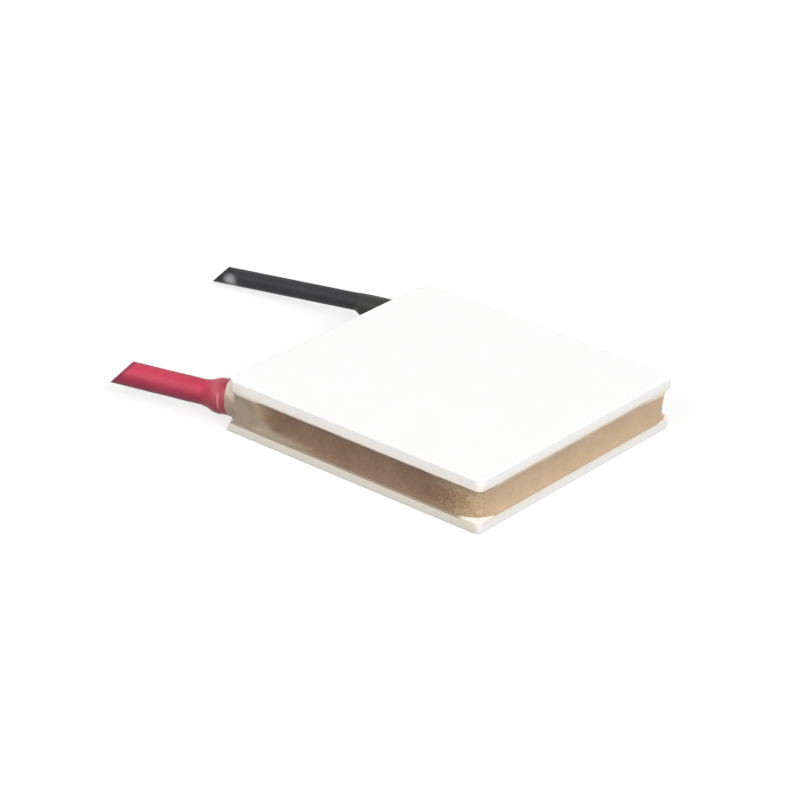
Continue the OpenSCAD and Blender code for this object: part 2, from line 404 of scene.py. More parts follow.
# Further tones of the sealant
SEAL_GREY = rgb(139, 124, 105)
SEAL_FOOT = rgb(160, 146, 127)
SEAL_LEFT_END = rgb(164, 147, 128)
SEAL_CREAM = rgb(228, 214, 198)
SEAL_LIP = rgb(248, 238, 220)
MOTTLE_DARK = rgb(124, 97, 70)
MOTTLE_LIGHT = rgb(212, 184, 150)
SPECK_DARK = rgb(104, 80, 52)
SPECK_LIGHT = rgb(232, 208, 172)
# Painted shade low and painted light high on the seal near the front corner
CORNER_PAINTED_SHADE = rgb(118, 94, 62)
CORNER_PAINTED_LIGHT = rgb(224, 204, 170)
CORNER_OLIVE = rgb(176, 150, 104)

# Where those tones come in on the seal, from none to full, in millimetres
FRONT_Y = (-8.9, -9.5)
BROWN_LEFT_X = (-7.6, -5.6)
BROWN_RIGHT_X = (10.8, 8.0)
GREY_X, GREY_Y = (-5.8, -7.6), (0.0, -6.0)
FOOT_X, FOOT_Z = (-1.0, -5.5), (PLATE_T + 0.55, PLATE_T + 0.1)
FOOT_CLIMB_X, FOOT_CLIMB = (-6.0, -9.3), 1.4
LEFT_END_X, LEFT_END_Y = (-9.3, -9.8), (-5.0, -7.5)
CREAM_Z = (EXIT_Z + 0.25, EXIT_Z + 0.85)
LIP_X, LIP_Z = (-5.0, 1.0), (COLD_PLATE_Z - 0.42, COLD_PLATE_Z - 0.16)
LIP_FRONT_RISE = 0.2
CORNER_X, CORNER_Y = (5.6, 9.0), (-7.6, -9.2)
CORNER_SHADE_Z = (PLATE_T + 1.3, PLATE_T + 0.2)
CORNER_LIGHT_Z = (COLD_PLATE_Z - 1.0, COLD_PLATE_Z - 0.2)

# The same for the lap on the base plate's rim, and for the smear round the red lead
LAP_FRONT_Y, LAP_FRONT_DROP = (-9.7, -9.85), 0.07
LAP_EDGE, LAP_Z = (9.84, 9.92), (PLATE_T - 0.12, PLATE_T - 0.02)
LAP_FRONT_CORNER, LAP_BACK_CORNERS = (18.9, 18.2), (19.0, 18.4)
SMEAR_REACH = (2.3, 1.0)

# Where the painted shade comes in on the underside of jackets and sleeves, and the rim of a cut
JACKET_SHADE_Z, SLEEVE_SHADE_Z = (0.7, -0.3), (0.95, -0.35)
CUT_RIM = (0.34, 0.02)


def lap_on_rim(tree, x, y, z, facing_up, colour):
    """Lays a narrow lap of sealant over the base plate's rim, deeper on the front side, with
    painted shade where the rim's bevel faces up.
    """
    on_front = ramp_between(tree, y, *LAP_FRONT_Y)
    height = math_node(tree, "MULTIPLY_ADD", on_front, LAP_FRONT_DROP, z)
    wide_x, wide_y = (math_node(tree, "ABSOLUTE", axis) for axis in (x, y))
    at_edge = ramp_between(tree, math_node(tree, "MAXIMUM", wide_x, wide_y), *LAP_EDGE)
    near_top = ramp_between(tree, height, *LAP_Z)
    on_base = math_node(tree, "LESS_THAN", z, PLATE_T + 0.01)
    off_front_corner = ramp_between(tree, math_node(tree, "SUBTRACT", x, y),
                                    *LAP_FRONT_CORNER)
    off_back_corners = ramp_between(tree, math_node(tree, "ADD", wide_x, y),
                                    *LAP_BACK_CORNERS)
    tone = mix_colours(tree, on_front, LAP_TAN, LAP_BROWN)
    # Painted shade on the upward-facing bevel of the rim
    on_rim = ramp_between(tree, facing_up, 0.15, 0.5)
    tone = mix_colours(tree, times(tree, on_rim, 0.6), tone, RIM_SHADE, "MULTIPLY")
    return lay_over(tree, colour, tone, at_edge, near_top, on_base, off_front_corner,
                    off_back_corners, 0.85)


def make_alumina():
    """Fired alumina: lapped faces, scribed sides, and sealant hazed and lapped onto them."""
    material, tree, shader = new_material("alumina", 0.5, Specular_IOR_Level=0.4)
    mm = millimetres(tree)
    x, y, z = split_axes(tree, mm)
    _, facing_y, facing_z = split_axes(
        tree, tree.nodes.new("ShaderNodeNewGeometry").outputs["Normal"])
    on_side = ramp_between(tree, math_node(tree, "ABSOLUTE", facing_z), 0.92, 0.6)
    on_front = ramp_between(tree, facing_y, -0.5, -0.9)
    on_base = math_node(tree, "LESS_THAN", z, PLATE_T + 0.01)
    colour = wandering_tone(tree, mm, 0.35, 0.35, ALUMINA_TONES)

    # A darker warm tone on the sides, most on the front-facing side of the base plate
    base_side_share = math_node(tree, "MULTIPLY_ADD", on_front, 0.45, 0.18)
    film = math_node(tree, "MULTIPLY_ADD", on_front, 0.22, times(tree, on_base, base_side_share))
    colour = lay_over(tree, colour, SIDE_DARK_TONE, on_side, film)

    from_middle = math_node(tree, "ABSOLUTE", math_node(tree, "SUBTRACT", z, EXIT_Z))
    near_seal = ramp_between(tree, from_middle, GAP_H / 2 + 0.55, GAP_H / 2 - 0.05)
    patchy = use_group(tree, TONE, {"Vector": mm, "Scale": 0.5, "Spread": 0.8})["Fac"]
    colour = lay_over(tree, colour, SEAL_HAZE, near_seal,
                      math_node(tree, "MULTIPLY_ADD", patchy, 0.3, 0.35),
                      math_node(tree, "MULTIPLY_ADD", on_side, 0.8, 0.2))

    red_exit = (-PLATE_SIDE / 2, LEADS["red"]["y"], EXIT_Z + 0.6)
    from_exit = distance_from(tree, mm, red_exit)
    colour = lay_over(tree, colour, EXIT_SMEAR, ramp_between(tree, from_exit, *SMEAR_REACH),
                      on_side, 0.75)
    colour = lap_on_rim(tree, x, y, z, facing_z, colour)
    link(tree, colour, shader.inputs["Base Color"])

    scribed = add_node(tree, "ShaderNodeTexNoise",
                       {"Vector": millimetres(tree, (9.0, 9.0, 0.8)), "Scale": 1.0,
                        "Detail": 2.0}).outputs["Fac"]
    grain = relief_height(tree, mm, 2.5, 0.5)
    relief = math_node(tree, "MULTIPLY_ADD", grain, 0.25, times(tree, scribed, on_side))
    add_bump(tree, shader, relief, 0.5, 0.012)
    return material


def seal_tones(tree, mm, x, y, z):
    """Tan all round, brown on the front side, pale towards the leads."""
    front = ramp_between(tree, y, *FRONT_Y)
    wander = relief_height(tree, mm, 0.9, 0.2)
    wandering_x = math_node(tree, "MULTIPLY_ADD", wander, 1.2, x)
    # Share of brown on the front side, between the two ends
    thin = times(tree, front, ramp_between(tree, wandering_x, *BROWN_LEFT_X),
                 ramp_between(tree, wandering_x, *BROWN_RIGHT_X))
    colour = mix_colours(tree, thin, wandering_tone(tree, mm, 0.55, 0.32, SEAL_TAN),
                         wandering_tone(tree, mm, 0.6, 0.5, SEAL_BROWN))
    colour = lay_over(tree, colour, SEAL_GREY, ramp_between(tree, wandering_x, *GREY_X),
                      ramp_between(tree, y, *GREY_Y), 0.88)

    climb = times(tree, ramp_between(tree, x, *FOOT_CLIMB_X), FOOT_CLIMB)
    over_foot = math_node(tree, "SUBTRACT", z, climb)
    colour = lay_over(tree, colour, SEAL_FOOT, front, ramp_between(tree, over_foot, *FOOT_Z),
                      ramp_between(tree, wandering_x, *FOOT_X), 0.85)

    left_end = times(tree, ramp_between(tree, x, *LEFT_END_X), ramp_between(tree, y, *LEFT_END_Y))
    colour = lay_over(tree, colour, SEAL_LEFT_END, left_end, 0.85)
    colour = lay_over(tree, colour, SEAL_CREAM, left_end, ramp_between(tree, z, *CREAM_Z), 0.9)

    lip_z = math_node(tree, "SUBTRACT", z, times(tree, front, LIP_FRONT_RISE))
    lip_side = math_node(tree, "MAXIMUM", front, ramp_between(tree, x, *LIP_X))
    return lay_over(tree, colour, SEAL_LIP, ramp_between(tree, lip_z, *LIP_Z), lip_side, 0.9)


def mottle_corner(tree, mm, x, y, z, colour):
    """Mottling and specks that gather at the front corner, with painted shade low and painted
    light high there; gives the colour and raised specks.
    """
    near_corner = times(tree, ramp_between(tree, x, *CORNER_X), ramp_between(tree, y, *CORNER_Y))
    speck_share = math_node(tree, "MULTIPLY_ADD", near_corner, 0.9, 0.1)
    elsewhere = add_node(tree, "ShaderNodeMapping",
                         {"Vector": mm, "Location": (5.3, 1.7, 2.9)}).outputs[0]
    light_specks = use_group(tree, SPECKS, {"Vector": mm, "Scale": 4.6, "Size": 0.36})["Mask"]
    dark_specks = use_group(tree, SPECKS, {"Vector": elsewhere, "Scale": 4.0,
                                           "Size": 0.3})["Mask"]
    grain = add_node(tree, "ShaderNodeTexNoise",
                     {"Vector": mm, "Scale": 5.5, "Detail": 3.0, "Roughness": 0.6}).outputs["Fac"]
    for shade, *masks in (
            (MOTTLE_DARK, near_corner, ramp_between(tree, grain, 0.5, 0.36), 0.5),
            (MOTTLE_LIGHT, near_corner, ramp_between(tree, grain, 0.5, 0.66), 0.5),
            (SPECK_DARK, dark_specks, speck_share, 0.5),
            (SPECK_LIGHT, light_specks, speck_share, 0.5),
            # Painted shade towards the bottom and painted light towards the top near the front
            # corner
            (CORNER_PAINTED_SHADE, near_corner, ramp_between(tree, z, *CORNER_SHADE_Z), 0.42),
            (CORNER_PAINTED_LIGHT, near_corner, ramp_between(tree, z, *CORNER_LIGHT_Z), 0.35),
            (CORNER_OLIVE, near_corner, 0.2)):
        colour = lay_over(tree, colour, shade, *masks)
    return colour, times(tree, light_specks, speck_share)


def make_sealant():
    """Soft, slightly wavy sealant in uneven browns."""
    material, tree, shader = new_material("sealant", 0.45, Specular_IOR_Level=0.4)
    mm = millimetres(tree)
    x, y, z = split_axes(tree, mm)
    colour, raised = mottle_corner(tree, mm, x, y, z, seal_tones(tree, mm, x, y, z))
    link(tree, colour, shader.inputs["Base Color"])
    bumps = math_node(tree, "MULTIPLY_ADD", raised, 0.6, relief_height(tree, mm, 1.1, 0.06))
    add_bump(tree, shader, bumps, 0.6, 0.05)
    return material


def lead_way(tree):
    """Place along, across and above the straight lead, in millimetres."""
    return add_node(tree, "ShaderNodeAttribute", attribute_name="lead_way").outputs["Vector"]


def make_jacket(name, tones, rim, gloss, painted_under_shade=0.0, painted_glint=None):
    """Extruded lead insulation: faint runs along it, painted shade below, darker at the cut, and
    a painted glint.
    """
    material, tree, shader = new_material(name, 0.5, Specular_IOR_Level=gloss)
    way = lead_way(tree)
    height = split_axes(tree, way)[2]
    runs = add_node(tree, "ShaderNodeMapping",
                    {"Vector": way, "Scale": (0.35, 1.6, 1.6)}).outputs[0]
    colour = wandering_tone(tree, runs, 1.2, 0.5, tones)
    # Painted shade: the jacket's underside darkened towards the rim colour
    colour = lay_over(tree, colour, rim, ramp_between(tree, height, *JACKET_SHADE_Z),
                      painted_under_shade)
    from_cut = add_node(tree, "ShaderNodeAttribute", attribute_name="from_cut").outputs["Fac"]
    colour = lay_over(tree, colour, rim, ramp_between(tree, from_cut, *CUT_RIM), 0.7)
    # Painted glint: a light grey patch near the lead's end
    if painted_glint:
        place, size, shade = painted_glint
        off = distance_from(tree, millimetres(tree), place)
        colour = lay_over(tree, colour, shade, ramp_between(tree, off, size, 0.1), 0.85)
    link(tree, colour, shader.inputs["Base Color"])
    add_bump(tree, shader, relief_height(tree, runs, 1.5, 0.3), 0.35, 0.04)
    return material


def make_sleeve_film(name, tones, roughness, thin_end, shaded, painted_crease_highlight=None):
    """Heat-shrunk film with soft wrinkles, so thin at its end that the jacket shows through."""
    material, tree, shader = new_material(name, roughness, Specular_IOR_Level=0.3)
    way = lead_way(tree)
    along, _, height = split_axes(tree, way)
    rings = add_node(tree, "ShaderNodeMapping",
                     {"Vector": way, "Scale": (1.3, 0.6, 0.6)}).outputs[0]
    thin_from, thin_to, jacket = thin_end
    colour = mix_colours(tree, ramp_between(tree, along, thin_from, thin_to),
                         wandering_tone(tree, rings, 0.9, 0.6, tones), jacket)
    # Painted shade on the sleeve's underside
    colour = lay_over(tree, colour, shaded, ramp_between(tree, height, *SLEEVE_SHADE_Z), 0.5)
    # Painted highlight: a light line along a crease on the lower half, and the film darker inward
    # of the crease
    if painted_crease_highlight:
        place, shade = painted_crease_highlight
        inward = ramp_between(tree, along, place, place - 0.14)
        colour = lay_over(tree, colour, tones[0], inward, 0.5)
        off = math_node(tree, "ABSOLUTE", math_node(tree, "SUBTRACT", along, place))
        colour = lay_over(tree, colour, shade, ramp_between(tree, off, 0.1, 0.02),
                          ramp_between(tree, height, 0.66, 0.4),
                          ramp_between(tree, height, -0.55, -0.25), 0.6)
    link(tree, colour, shader.inputs["Base Color"])
    add_bump(tree, shader, relief_height(tree, rings, 1.1, 0.15), 0.5, 0.06)
    return material


def make_metal(name, tones, roughness, lines=(1.0, 1.0, 1.0)):
    """A metal with a lively tone and fine lines where it was drawn, rolled or sawn."""
    material, tree, shader = new_material(name, roughness, metallic=1.0)
    link(tree, wandering_tone(tree, millimetres(tree), 1.4, 0.6, tones),
         shader.inputs["Base Color"])
    add_bump(tree, shader, relief_height(tree, millimetres(tree, lines), 3.0, 0.6), 0.4, 0.01)
    return material


ROLLED_LINES = (0.5, 4.0, 1.0)
DRAWN_LINES = (0.4, 3.0, 3.0)
SAWN_LINES = (1.0, 1.0, 6.0)

FINISHES = {
    "alumina": make_alumina(),
    "seal_rubber": make_sealant(),
    # The red jacket gets painted shade on its underside
    "red_pvc": make_jacket("red_pvc", (rgb(178, 46, 70), rgb(198, 62, 86)), rgb(100, 34, 58),
                           0.35, painted_under_shade=0.62),
    # The black jacket gets a painted glint near its end
    "black_pvc": make_jacket("black_pvc", (rgb(38, 38, 41), rgb(48, 48, 51)), rgb(26, 26, 28),
                             0.25, painted_glint=((-23.42, 5.72, 0.7), 0.72, rgb(176, 176, 177))),
    # The fifth argument of each sleeve film is the colour of its painted shade below
    "red_film": make_sleeve_film("red_film", (rgb(168, 62, 74), rgb(196, 90, 101)), 0.42,
                                 (1.3, 2.3, rgb(188, 54, 78)), rgb(116, 38, 46),
                                 painted_crease_highlight=(1.06, rgb(222, 150, 158))),
    "black_film": make_sleeve_film("black_film", (rgb(42, 42, 40), rgb(53, 53, 50)), 0.45,
                                   (3.5, 4.0, rgb(42, 42, 45)), rgb(40, 40, 39)),
    "copper": make_metal("copper", (rgb(196, 122, 84), rgb(226, 156, 116)), 0.3, ROLLED_LINES),
    "copper_strand": make_metal("copper_strand", (rgb(166, 96, 62), rgb(204, 134, 94)), 0.32,
                                DRAWN_LINES),
    "solder": make_metal("solder", (rgb(168, 168, 166), rgb(204, 204, 202)), 0.35),
    "n_semiconductor": make_metal("n_semiconductor", (rgb(96, 98, 104), rgb(132, 134, 140)),
                                  0.45, SAWN_LINES),
    "p_semiconductor": make_metal("p_semiconductor", (rgb(88, 90, 100), rgb(122, 126, 136)),
                                  0.45, SAWN_LINES),
}


# ---- ceramic plates ----

# Radius of each upright corner, by its side in X and Y
PLATE_CORNERS = {(1, -1): 0.45, (1, 1): 0.45, (-1, 1): 0.45, (-1, -1): 0.45}
HOT_CORNERS = {**PLATE_CORNERS, (-1, -1): 0.15}
COLD_CORNERS = {**PLATE_CORNERS, (-1, 1): 1.6}
RIM_BREAK = 0.045
HOT_LOW_BREAK = 0.1
# The broken-off corner of the hot plate: a point on the break and its outward direction
HOT_CHIP = ((-10.0, -10.0, 0.0), (-0.57, -0.456, 0.3375))
# Faces over this area, in square millimetres, get a narrow border that keeps them flat
LARGE_FACE = 5.0
FACE_BORDER = 0.04


def add_ceramic(name, low_z, node, corners, low_break=RIM_BREAK, chip=None):
    """A ground plate: upright corners rounded first, then a fine break on every rim."""
    deselect_all()
    bpy.ops.mesh.primitive_cube_add(size=1.0, location=(0, 0, (low_z + PLATE_T / 2) * MM),
                                    scale=(PLATE_SIDE * MM, PLATE_SIDE * MM, PLATE_T * MM))
    plate = name_active(name)
    half = PLATE_SIDE / 2
    for (side_x, side_y), radius in corners.items():
        def upright(edge, side_x=side_x, side_y=side_y):
            return all(co.x * side_x > half - 0.01 and co.y * side_y > half - 0.01
                       for co in edge_ends(plate, edge))

        select_in_edit(plate, "EDGE", upright)
        bpy.ops.mesh.bevel(offset=radius * MM, offset_type="OFFSET", segments=8, profile=0.5)

    for level, size in ((low_z + PLATE_T, RIM_BREAK), (low_z, low_break)):
        def rim(edge, level=level):
            return all(abs(co.z - level) < 0.001 for co in edge_ends(plate, edge))

        select_in_edit(plate, "EDGE", rim)
        bpy.ops.mesh.bevel(offset=size * MM, offset_type="OFFSET", segments=3, profile=0.5)
    if chip:
        point, out = chip
        cut_off(plate, Vector(point) * MM, out, fill=True)
    select_in_edit(plate, "FACE", lambda face: face.area > LARGE_FACE * MM ** 2)
    bpy.ops.mesh.inset(thickness=FACE_BORDER * MM, depth=0.0, use_individual=True)
    leave_edit()
    tidy_surface(plate)
    finish_piece(plate, FINISHES["alumina"], "alumina", node)


# ---- floor and light ----

FLOOR_SIZE = 3.0
FLOOR_DROP = 0.001
# Grey of the floor where it lights the module and where it shows, and the glow added there
FLOOR_UNSEEN, FLOOR_SEEN, FLOOR_GLOW = 0.32, 0.30, 0.73
SKY_LIGHT = 0.42
SOFTBOX_DISTANCE = 2.5
SOFTBOX_SIZE = 1.5
SOFTBOX_LIFT = 35
# Azimuth in degrees and power in watts
SOFTBOXES = {"key_softbox": (75, 42.0), "fill_softbox": (-5, 29.0)}


def grey(value):
    return (value, value, value, 1)


def seen_share(tree):
    """1 for rays that show the surroundings: straight, in gloss or through glass."""
    rays = tree.nodes.new("ShaderNodeLightPath").outputs
    mirrored = math_node(tree, "MAXIMUM", rays["Is Glossy Ray"], rays["Is Transmission Ray"])
    return math_node(tree, "MAXIMUM", rays["Is Camera Ray"], mirrored)


def add_floor():
    deselect_all()
    bpy.ops.mesh.primitive_plane_add(size=FLOOR_SIZE, location=(0, 0, -FLOOR_DROP * MM))
    floor = name_active("floor")
    material = bpy.data.materials.new("floor")
    material.use_nodes = True
    tree = material.node_tree
    shader = tree.nodes["Principled BSDF"]
    shader.inputs["Roughness"].default_value = 0.9
    shader.inputs["Specular IOR Level"].default_value = 0.1
    shader.inputs["Emission Strength"].default_value = 1.0
    seen = seen_share(tree)
    link(tree, mix_colours(tree, seen, grey(FLOOR_UNSEEN), grey(FLOOR_SEEN)),
         shader.inputs["Base Color"])
    link(tree, mix_colours(tree, seen, grey(0), grey(FLOOR_GLOW)),
         shader.inputs["Emission Color"])
    floor.data.materials.append(material)


def add_world():
    world = bpy.data.worlds.new("world")
    bpy.context.scene.world = world
    world.use_nodes = True
    tree = world.node_tree
    background = tree.nodes["Background"]
    link(tree, mix_colours(tree, seen_share(tree), grey(SKY_LIGHT), grey(1)),
         background.inputs["Color"])
    background.inputs["Strength"].default_value = 1.0


def add_softbox(name, azimuth, power):
    """A square lamp that faces the module from one side."""
    lamp = bpy.data.lights.new(name, "AREA")
    lamp.shape = "SQUARE"
    lamp.size = SOFTBOX_SIZE
    lamp.energy = power
    box = bpy.data.objects.new(name, lamp)
    bpy.context.scene.collection.objects.link(box)
    away = direction_from(math.radians(azimuth), math.radians(SOFTBOX_LIFT))
    box.location = away * SOFTBOX_DISTANCE
    box.rotation_euler = away.to_track_quat("Z", "Y").to_euler()


# ---- edge seal ----

# The bead is laid by hand, so its corners are rounded unevenly: (side in X, side in Y): radius
SEAL_CORNERS = {(1, -1): 2.0, (1, 1): 0.9, (-1, 1): 1.3, (-1, -1): 0.8}
SEAL_LEVELS = 14
SEAL_SIDE_CUTS = 95
SEAL_GRAIN = 0.085
SEAL_THICKNESS = 0.75
# How far the bead runs into the plates' thickness, and how far inside their outline
SEAL_BITE = 0.1
BITE_INSET = 0.08
# In front the bead stays this far behind the plates' edge, up to this X
FLUSH_DEPTH = 0.03
FLUSH_TO = -9.6
LUMP_SIZE = 1.3
LUMP_HEIGHT = 0.16
# How far the bead stands out round each lead, and from where to where it fades
BEAD_PROUD = 0.42
BEAD_REACH = (1.2, 3.4)
BEAD_LIFT = {"red": 0.3, "black": 0.0}
# Side in X, side in Y, reach and fullness of the corner where more sealant gathered
FULL_CORNER = (1, 1, 3.5, 0.8)
# How far from a lead, and up to which X, the bead and the collar melt together
MELT_REACH = (2.3, 1.7)
MELT_TO = -8.6


def smooth_step(value):
    value = min(max(value, 0.0), 1.0)
    return value * value * (3 - 2 * value)


def hollow_at(height):
    """Depth of the seal's hollow at a height from -1 on the hot plate to 1 on the cold."""
    return SEAL_HOLLOW * math.sqrt(max(0.0, 1 - abs(height) ** 2.2))


def swell_round_lead(seal, lead_y, lift):
    """Brings the seal out past the plates where it climbs onto a lead's sleeve."""
    full, none = BEAD_REACH
    for vertex in seal.data.vertices:
        place = vertex.co / MM
        away = math.hypot(place.x + PLATE_SIDE / 2, place.y - lead_y)
        share = smooth_step((none - away) / (none - full))
        height = (place.z - EXIT_Z) / (GAP_H / 2)
        if share == 0.0 or abs(height) > 0.999:
            continue
        out = Vector((vertex.normal.x, vertex.normal.y, 0.0)).normalized()
        facing = max(-out.x, 2 * abs(out.x * out.y))
        wanted = hollow_at(height) + facing * BEAD_PROUD * max(0.0, 1 - (height - lift) ** 2)
        vertex.co += out * wanted * share * MM


def fill_corner(seal, side_x, side_y, reach, fullness):
    """Leaves the hollow shallower near one corner, where more sealant gathered."""
    for vertex in seal.data.vertices:
        place = vertex.co / MM
        away = math.hypot(place.x - side_x * PLATE_SIDE / 2, place.y - side_y * PLATE_SIDE / 2)
        height = (place.z - EXIT_Z) / (GAP_H / 2)
        out = Vector((vertex.normal.x, vertex.normal.y, 0.0)).normalized()
        share = fullness * smooth_step((reach - away) / (0.7 * reach))
        vertex.co += out * hollow_at(height) * share * MM


# Film on each sleeve, from inside the seal outwards: (along, radius)
COLLAR_FORMS = {
    "red": [(-0.75, 1.22), (-0.3, 1.28), (0.0, 1.29), (0.25, 1.27), (0.45, 1.24), (0.6, 1.22),
            (0.72, 1.18)],
    "black": [(-0.75, 1.2), (-0.3, 1.15), (0.1, 1.0), (0.4, 0.86), (0.6, 0.8), (0.72, 0.77),
              (0.8, 0.74)],
}


def add_collar(colour):
    """A ring of sealant that climbs out along the sleeve, kept between the plates."""
    lead = LEADS[colour]
    outer = [(along, radius, 0.0, 0.0) for along, radius in COLLAR_FORMS[colour]]
    bore = lead["radius"] + 0.02
    inner = [(outer[-1][0], bore, 0.0, 0.0), (outer[0][0], bore, 0.0, 0.0)]
    collar = draw_out(f"{colour}_collar", RING_SIDES, outer + inner + outer[:1])
    tidy_surface(collar)
    smooth_rings(collar)
    path = add_lead_path(f"{colour}_collar_path", lead)
    follow_lead(collar, path)
    remove_path(path)
    for vertex in collar.data.vertices:
        if vertex.co.x > (-PLATE_SIDE / 2 - 0.01) * MM:
            vertex.co.z = min(max(vertex.co.z, (PLATE_T + 0.002) * MM),
                              (COLD_PLATE_Z - 0.002) * MM)
    tidy_surface(collar, 50)
    return collar


def join_pieces(pieces, name):
    """Makes one object of several, which keeps the first one's mesh data."""
    deselect_all()
    for piece in pieces:
        piece.select_set(True)
    bpy.context.view_layer.objects.active = pieces[0]
    bpy.ops.object.join()
    joined = bpy.context.object
    joined.name = joined.data.name = name
    return joined


def smooth_surface(piece, name, passes, group=""):
    smooth = piece.modifiers.new(name, "SMOOTH")
    smooth.factor = 0.5
    smooth.iterations = passes
    smooth.vertex_group = group
    apply_modifier(piece, name)


def melt_joints(seal):
    """Gives the sealant an even mesh, and smooths it where the bead runs into the collars."""
    even = seal.modifiers.new("even", "REMESH")
    even.mode = "VOXEL"
    even.voxel_size = SEAL_GRAIN * MM
    apply_modifier(seal, "even")
    smooth_surface(seal, "ease", 6)
    joints = seal.vertex_groups.new(name="joints")
    none, full = MELT_REACH
    for vertex in seal.data.vertices:
        place = vertex.co / MM
        away = min(math.hypot(place.x + PLATE_SIDE / 2, place.y - lead["y"])
                   for lead in LEADS.values())
        height = abs(place.z - EXIT_Z) / (GAP_H / 2)
        share = smooth_step((none - away) / (none - full)) * smooth_step((1 - height) / 0.25)
        joints.add([vertex.index], share if place.x < MELT_TO else 0.0, "REPLACE")
    smooth_surface(seal, "melt", 24, "joints")
    seal.vertex_groups.clear()


def trim_flush(seal):
    """Takes off what stands out in front of the plates, easing off past the left corner."""
    for vertex in seal.data.vertices:
        past_corner = smooth_step((FLUSH_TO - vertex.co.x / MM) / 0.4)
        lowest = -PLATE_SIDE / 2 + FLUSH_DEPTH - 0.3 * past_corner
        vertex.co.y = max(vertex.co.y, lowest * MM)


def draw_bead():
    """An outline with four unlike corners, drawn up ring by ring and pulled in to a hollow."""
    deselect_all()
    half = PLATE_SIDE / 2
    bead_half = half - BITE_INSET
    bpy.ops.mesh.primitive_plane_add(size=2 * bead_half * MM,
                                     location=(0, 0, (PLATE_T - SEAL_BITE) * MM))
    seal = name_active("sealant_bead")
    for (side_x, side_y), radius in SEAL_CORNERS.items():
        def corner(vertex, side_x=side_x, side_y=side_y):
            place = vertex.co / MM
            return min(place.x * side_x, place.y * side_y) > bead_half - 0.01

        select_in_edit(seal, "VERT", corner)
        bpy.ops.mesh.bevel(offset=radius * MM, offset_type="OFFSET", segments=12,
                           affect="VERTICES")
    bpy.ops.mesh.select_all(action="SELECT")
    bpy.ops.mesh.delete(type="ONLY_FACE")

    def long_side(edge):
        a, b = edge_ends(seal, edge)
        return (a - b).length > half / 2

    select_in_edit(seal, "EDGE", long_side)
    bpy.ops.mesh.subdivide(number_cuts=SEAL_SIDE_CUTS)
    bpy.ops.mesh.select_all(action="SELECT")
    before = bead_half / half
    for level in range(SEAL_LEVELS + 2):
        step = GAP_H / SEAL_LEVELS if 0 < level <= SEAL_LEVELS else SEAL_BITE
        bpy.ops.mesh.extrude_edges_move(TRANSFORM_OT_translate={"value": (0, 0, step * MM)})
        height = 2 * level / SEAL_LEVELS - 1
        inset = 1 - (hollow_at(height) if height <= 1 else BITE_INSET) / half
        bpy.ops.transform.resize(value=(inset / before, inset / before, 1.0),
                                 center_override=(0, 0, 0))
        before = inset
    leave_edit()
    tidy_surface(seal, 60)
    if seal.data.vertices[0].normal.dot(seal.data.vertices[0].co) < 0:
        select_in_edit(seal, "FACE", lambda face: True)
        bpy.ops.mesh.flip_normals()
        leave_edit()
    return seal


def add_lumps(seal):
    """Makes the bead uneven between the plates, and leaves its rims as they are."""
    inner_rings = seal.vertex_groups.new(name="between_rims")
    for vertex in seal.data.vertices:
        height = (vertex.co.z / MM - EXIT_Z) / (GAP_H / 2)
        inner_rings.add([vertex.index], smooth_step((1.05 - abs(height)) / 0.35), "REPLACE")
    lumps = bpy.data.textures.new("bead_lumps", "CLOUDS")
    lumps.noise_scale = LUMP_SIZE * MM
    lumps.noise_depth = 2
    displace = seal.modifiers.new("lumps", "DISPLACE")
    displace.texture = lumps
    displace.texture_coords = "LOCAL"
    displace.vertex_group = "between_rims"
    displace.mid_level = 0.5
    displace.strength = LUMP_HEIGHT * MM
    apply_modifier(seal, "lumps")


def thicken_bead(seal):
    wall = seal.modifiers.new("wall", "SOLIDIFY")
    wall.thickness = SEAL_THICKNESS * MM
    wall.offset = -1.0
    apply_modifier(seal, "wall")
    seal.vertex_groups.clear()
    for vertex in seal.data.vertices:
        vertex.co.z = min(max(vertex.co.z, (PLATE_T - SEAL_BITE) * MM),
                          (COLD_PLATE_Z + SEAL_BITE) * MM)


def add_edge_seal():
    seal = draw_bead()
    for colour, lead in LEADS.items():
        swell_round_lead(seal, lead["y"], BEAD_LIFT[colour])
    fill_corner(seal, *FULL_CORNER)
    add_lumps(seal)
    thicken_bead(seal)
    seal = join_pieces([seal] + [add_collar(colour) for colour in LEADS], "sealant_bead")
    melt_joints(seal)
    trim_flush(seal)
    tidy_surface(seal, 50)
    finish_piece(seal, FINISHES["seal_rubber"], "seal_rubber", "edge_seal")


# ---- leads ----

RING_SIDES = 32
# Radius gained before a ring of that many sides is rounded off, which shrinks it again
ROUNDING_GAIN = 1.0065
# Length drawn past the end, for the slanting cut to take off
CUT_SPARE = 1.4
PATH_STEP = 0.25
PATH_SPARE = 3.0
JACKET_STEPS = 14


def lead_matrix(lead):
    """Frame at the end of the lead's curve: +Z runs out along the straight, +X to the middle."""
    angle = lead["bend_len"] / lead["bend_r"]
    return (Matrix.Translation((-PLATE_SIDE / 2, lead["y"], EXIT_Z))
            @ Matrix.Rotation(math.radians(lead["swing"]), 4, "Z")
            @ Matrix.Rotation(math.radians(-90 - lead["fall"]), 4, "Y")
            @ Matrix.Rotation(math.radians(lead["turn"]), 4, "Z")
            @ Matrix.Translation((lead["bend_r"] * (math.cos(angle) - 1), 0,
                                  lead["bend_r"] * math.sin(angle))))


def lead_point(lead, along):
    """Point on the lead's middle, this far along from the plates' edge, in millimetres."""
    if along >= lead["bend_len"]:
        return lead_matrix(lead) @ Vector((0, 0, along - lead["bend_len"]))
    angle = (lead["bend_len"] - along) / lead["bend_r"]
    return lead_matrix(lead) @ Vector((lead["bend_r"] * (1 - math.cos(angle)), 0,
                                       -lead["bend_r"] * math.sin(angle)))


